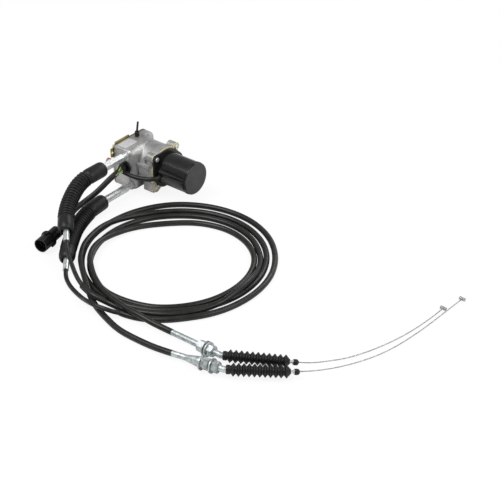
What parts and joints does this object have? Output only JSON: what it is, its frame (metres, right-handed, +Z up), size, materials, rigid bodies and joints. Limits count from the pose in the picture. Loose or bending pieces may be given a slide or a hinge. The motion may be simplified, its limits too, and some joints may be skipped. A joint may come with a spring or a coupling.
{
  "type": "throttle actuator",
  "caption": "Excavator throttle actuator: a geared motor in a cast housing drives long push-pull cables with rubber boots, end bellows and a round connector.",
  "frame": {"origin": "centre of the bottom of the actuator unit, cables and wiring left out", "axes": "+X along the motor from the housing's cover to the end of the can, -Y the way the cables leave, +Z up"},
  "size_m": [0.6949, 0.4275, 0.1169],
  "materials": {
    "cast_aluminium": "cast, satin",
    "zinc_yellow": "yellow zinc plate",
    "bright_steel": "bright zinc plate",
    "shaft_steel": "ground steel",
    "can_black": "satin black",
    "gasket_cream": "pale gasket sheet",
    "rubber_black": "matt rubber",
    "cable_black": "satin cable jacket",
    "plastic_black": "moulded plastic",
    "ferrite": "dark ferrite",
    "copper": "copper",
    "lamination": "laminated steel",
    "carbon": "carbon",
    "brass": "brass",
    "gear_steel": "hobbed steel",
    "drum_aluminium": "machined",
    "wire_steel": "bare inner wire",
    "label_silver": "blank foil plate"
  },
  "bodies": {
    "unit": {"housing": "cast_aluminium", "cover_plate": "zinc_yellow", "cover_gasket": "rubber_black", "cover_bolts": "bright_steel", "motor_plate": "gasket_cream", "motor_flange": "can_black", "flange_screws": "bright_steel", "motor_can": "can_black", "magnets": "ferrite", "brushes": "carbon", "brush_holder": "plastic_black", "motor_bearings": "brass", "layshaft_pin": "shaft_steel", "shaft_bearings": "shaft_steel", "bearing_plate": "drum_aluminium", "position_sensor": "plastic_black", "conduit_studs": "bright_steel", "long_nut": "bright_steel", "crimp_sleeve": "bright_steel", "grommet": "rubber_black", "vent_base": "plastic_black", "vent_tube": "plastic_black", "label_plate": "label_silver", "cable_1_lead_in": "cable_black", "cable_2_lead_in": "cable_black", "boot_1": "rubber_black", "boot_2": "rubber_black", "ferrule_1": "bright_steel", "ferrule_2": "bright_steel", "cable_coil": "cable_black", "cable_1_lead_out": "cable_black", "cable_2_lead_out": "cable_black", "hub_1": "bright_steel", "hub_2": "bright_steel", "hub_nuts": "bright_steel", "hub_washers": "bright_steel", "bellows_1": "rubber_black", "bellows_2": "rubber_black", "harness": "cable_black", "connector_body": "plastic_black", "connector_terminals": "brass", "motor_lead": "cable_black"},
    "motor_rotor": {"motor_shaft": "shaft_steel", "armature_core": "lamination", "armature_windings": "copper", "commutator": "copper", "motor_pinion": "gear_steel"},
    "cluster": {"cluster_gear": "gear_steel"},
    "drum": {"output_gear": "gear_steel", "output_shaft": "shaft_steel", "cable_drum": "drum_aluminium", "drum_wires": "wire_steel"},
    "core_1": {"core_wire_1": "wire_steel"},
    "core_2": {"core_wire_2": "wire_steel"},
    "pull_wire_1": {"wire_tip_1": "bright_steel", "inner_wire_1": "wire_steel", "wire_end_1": "wire_steel"},
    "pull_wire_2": {"wire_tip_2": "bright_steel", "inner_wire_2": "wire_steel", "wire_end_2": "wire_steel"}
  },
  "joints": [
    {"name": "motor_spin", "type": "hinge", "parent": "unit", "child": "motor_rotor", "pos_m": [0, 0.007, 0.047], "axis": [-1, 0, 0], "range_deg": [0, 1250]},
    {"name": "cluster_spin", "type": "hinge", "parent": "unit", "child": "cluster", "pos_m": [0, 0.0286, 0.047], "axis": [-1, 0, 0], "range_deg": [-251, 0]},
    {"name": "drum_turn", "type": "hinge", "parent": "unit", "child": "drum", "pos_m": [0, 0.007, 0.047], "axis": [-1, 0, 0], "range_deg": [0, 50.5]},
    {"name": "core_1_slide", "type": "slide", "parent": "unit", "child": "core_1", "axis": [0, 1, 0], "range_m": [0, 0.0263]},
    {"name": "core_2_slide", "type": "slide", "parent": "unit", "child": "core_2", "axis": [0, -1, 0], "range_m": [0, 0.0263]},
    {"name": "wire_1_slide", "type": "slide", "parent": "unit", "child": "pull_wire_1", "axis": [-0.868, -0.4965, 0.0038], "range_m": [0, 0.0263], "deforming": ["bellows_1"]},
    {"name": "wire_2_slide", "type": "slide", "parent": "unit", "child": "pull_wire_2", "axis": [0.8172, 0.5763, -0.004], "range_m": [0, 0.0263], "deforming": ["bellows_2"]}
  ],
  "couplings": [
    {"joint": "cluster_spin", "follows": "motor_spin", "ratio": -0.2},
    {"joint": "drum_turn", "follows": "motor_spin", "ratio": 0.04},
    {"joint": "core_1_slide", "follows": "motor_spin", "m_per_rad": 0.0012},
    {"joint": "core_2_slide", "follows": "motor_spin", "m_per_rad": 0.0012},
    {"joint": "wire_1_slide", "follows": "motor_spin", "m_per_rad": 0.0012},
    {"joint": "wire_2_slide", "follows": "motor_spin", "m_per_rad": 0.0012}
  ]
}
